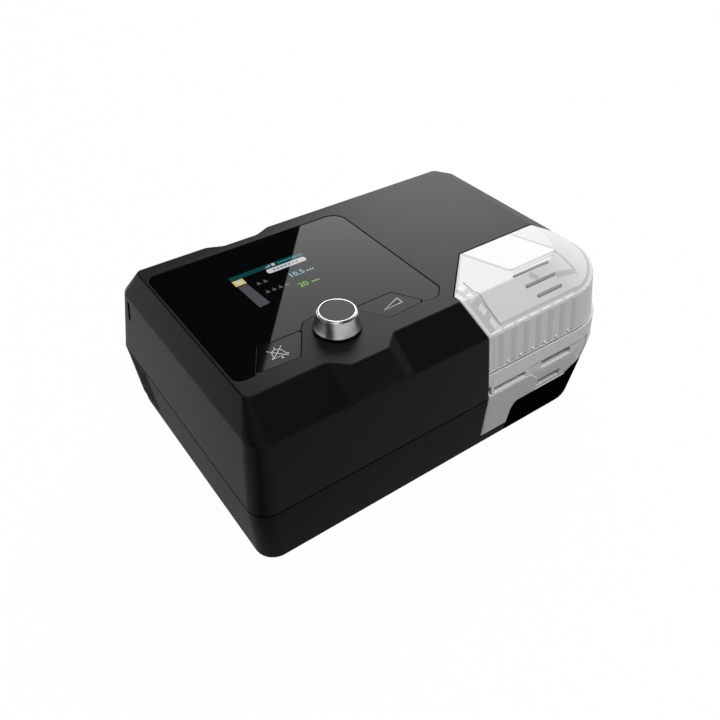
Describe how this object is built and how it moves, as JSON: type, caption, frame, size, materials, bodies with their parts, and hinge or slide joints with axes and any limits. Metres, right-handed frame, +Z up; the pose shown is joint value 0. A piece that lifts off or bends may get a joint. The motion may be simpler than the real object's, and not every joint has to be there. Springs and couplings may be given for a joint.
{
  "type": "desktop air pressure therapy machine",
  "caption": "Low faceted desktop machine with a flush black display lens, a flared turning knob between slanted keys, and a translucent water chamber docked in its front corner.",
  "frame": {"origin": "centre of the casing's footprint, on the surface it stands on", "axes": "+X along the long front towards the water chamber, +Y towards the back, +Z up"},
  "size_m": [0.265, 0.1952, 0.1148],
  "materials": {
    "casing_grey": "fine satin moulding",
    "base_black": "satin",
    "lens_black": "polished",
    "screen": "lit panel",
    "board_green": "solder mask",
    "switch_grey": "matte",
    "key_black": "satin",
    "knob_silver": "satin plated",
    "knob_dark": "satin",
    "steel": "plain",
    "white_plastic": "moulded",
    "part_black": "moulded",
    "foam_grey": "open-cell foam",
    "filter_white": "fibre mat",
    "silicone": "matte",
    "rubber_black": "matte",
    "plate_alu": "satin",
    "heater_film": "film",
    "clear": "clear moulding",
    "grip_black": "polished"
  },
  "bodies": {
    "base": {"upper_casing": "casing_grey", "lower_casing": "base_black", "chamber_dock": "base_black", "display_lens": "lens_black", "lcd_module": "screen", "display_board": "board_green", "key_switches": "switch_grey", "encoder_housing": "part_black", "main_board": "board_green", "board_parts": "part_black", "alarm_sounder": "part_black", "dc_socket": "part_black", "card_reader": "steel", "silencer_box": "white_plastic", "silencer_cover": "white_plastic", "silencer_foam": "foam_grey", "blower_mounts": "rubber_black", "volute_lower": "white_plastic", "volute_upper": "white_plastic", "blower_motor": "switch_grey", "delivery_duct": "white_plastic", "inlet_seal": "silicone", "outlet_tube": "part_black", "outlet_seal": "silicone", "air_filter": "filter_white", "heater_plate": "plate_alu", "heater_element": "heater_film", "rubber_feet": "rubber_black", "casing_screws": "steel"},
    "cover": {"filter_cover": "base_black"},
    "card": {"memory_card": "part_black"},
    "mute": {"mute_key": "key_black"},
    "ramp": {"ramp_key": "key_black"},
    "knob_stem": {"push_collar": "white_plastic"},
    "knob": {"knob_shell": "knob_silver", "knob_disc": "knob_dark", "encoder_shaft": "steel"},
    "fan": {"fan_wheel": "white_plastic", "fan_shaft": "steel"},
    "chamber": {"chamber_tub": "clear", "chamber_base_plate": "plate_alu", "chamber_grip": "grip_black", "chamber_seal": "silicone", "lid_hinge_pin": "steel"},
    "lid": {"chamber_lid": "clear", "lid_duct": "clear", "lid_strip": "clear"}
  },
  "joints": [
    {"name": "cover_slide", "type": "slide", "parent": "base", "child": "cover", "axis": [-1, 0, 0], "range_m": [0, 0.03]},
    {"name": "card_slide", "type": "slide", "parent": "base", "child": "card", "axis": [-1, 0, 0], "range_m": [0, 0.02]},
    {"name": "mute_press", "type": "slide", "parent": "base", "child": "mute", "axis": [0, 0, -1], "range_m": [0, 0.0005], "stiffness_N_per_m": 600, "springref_m": -0.0005},
    {"name": "ramp_press", "type": "slide", "parent": "base", "child": "ramp", "axis": [0, 0, -1], "range_m": [0, 0.0005], "stiffness_N_per_m": 600, "springref_m": -0.0005},
    {"name": "knob_press", "type": "slide", "parent": "base", "child": "knob_stem", "axis": [0, 0, -1], "range_m": [0, 0.0005], "stiffness_N_per_m": 2000, "springref_m": -0.0006},
    {"name": "knob_turn", "type": "hinge", "parent": "knob_stem", "child": "knob", "pos_m": [-0.0547, -0.0447, 0.1], "axis": [0, 0, 1], "continuous": true},
    {"name": "fan_spin", "type": "hinge", "parent": "base", "child": "fan", "pos_m": [-0.058, 0.02, 0.03], "axis": [0, 0, 1], "continuous": true},
    {"name": "chamber_slide", "type": "slide", "parent": "base", "child": "chamber", "axis": [1, 0, 0], "range_m": [0, 0.115]},
    {"name": "lid_hinge", "type": "hinge", "parent": "chamber", "child": "lid", "pos_m": [0.1305, -0.038, 0.0621], "axis": [0, 1, 0], "range_deg": [0, 100]}
  ]
}
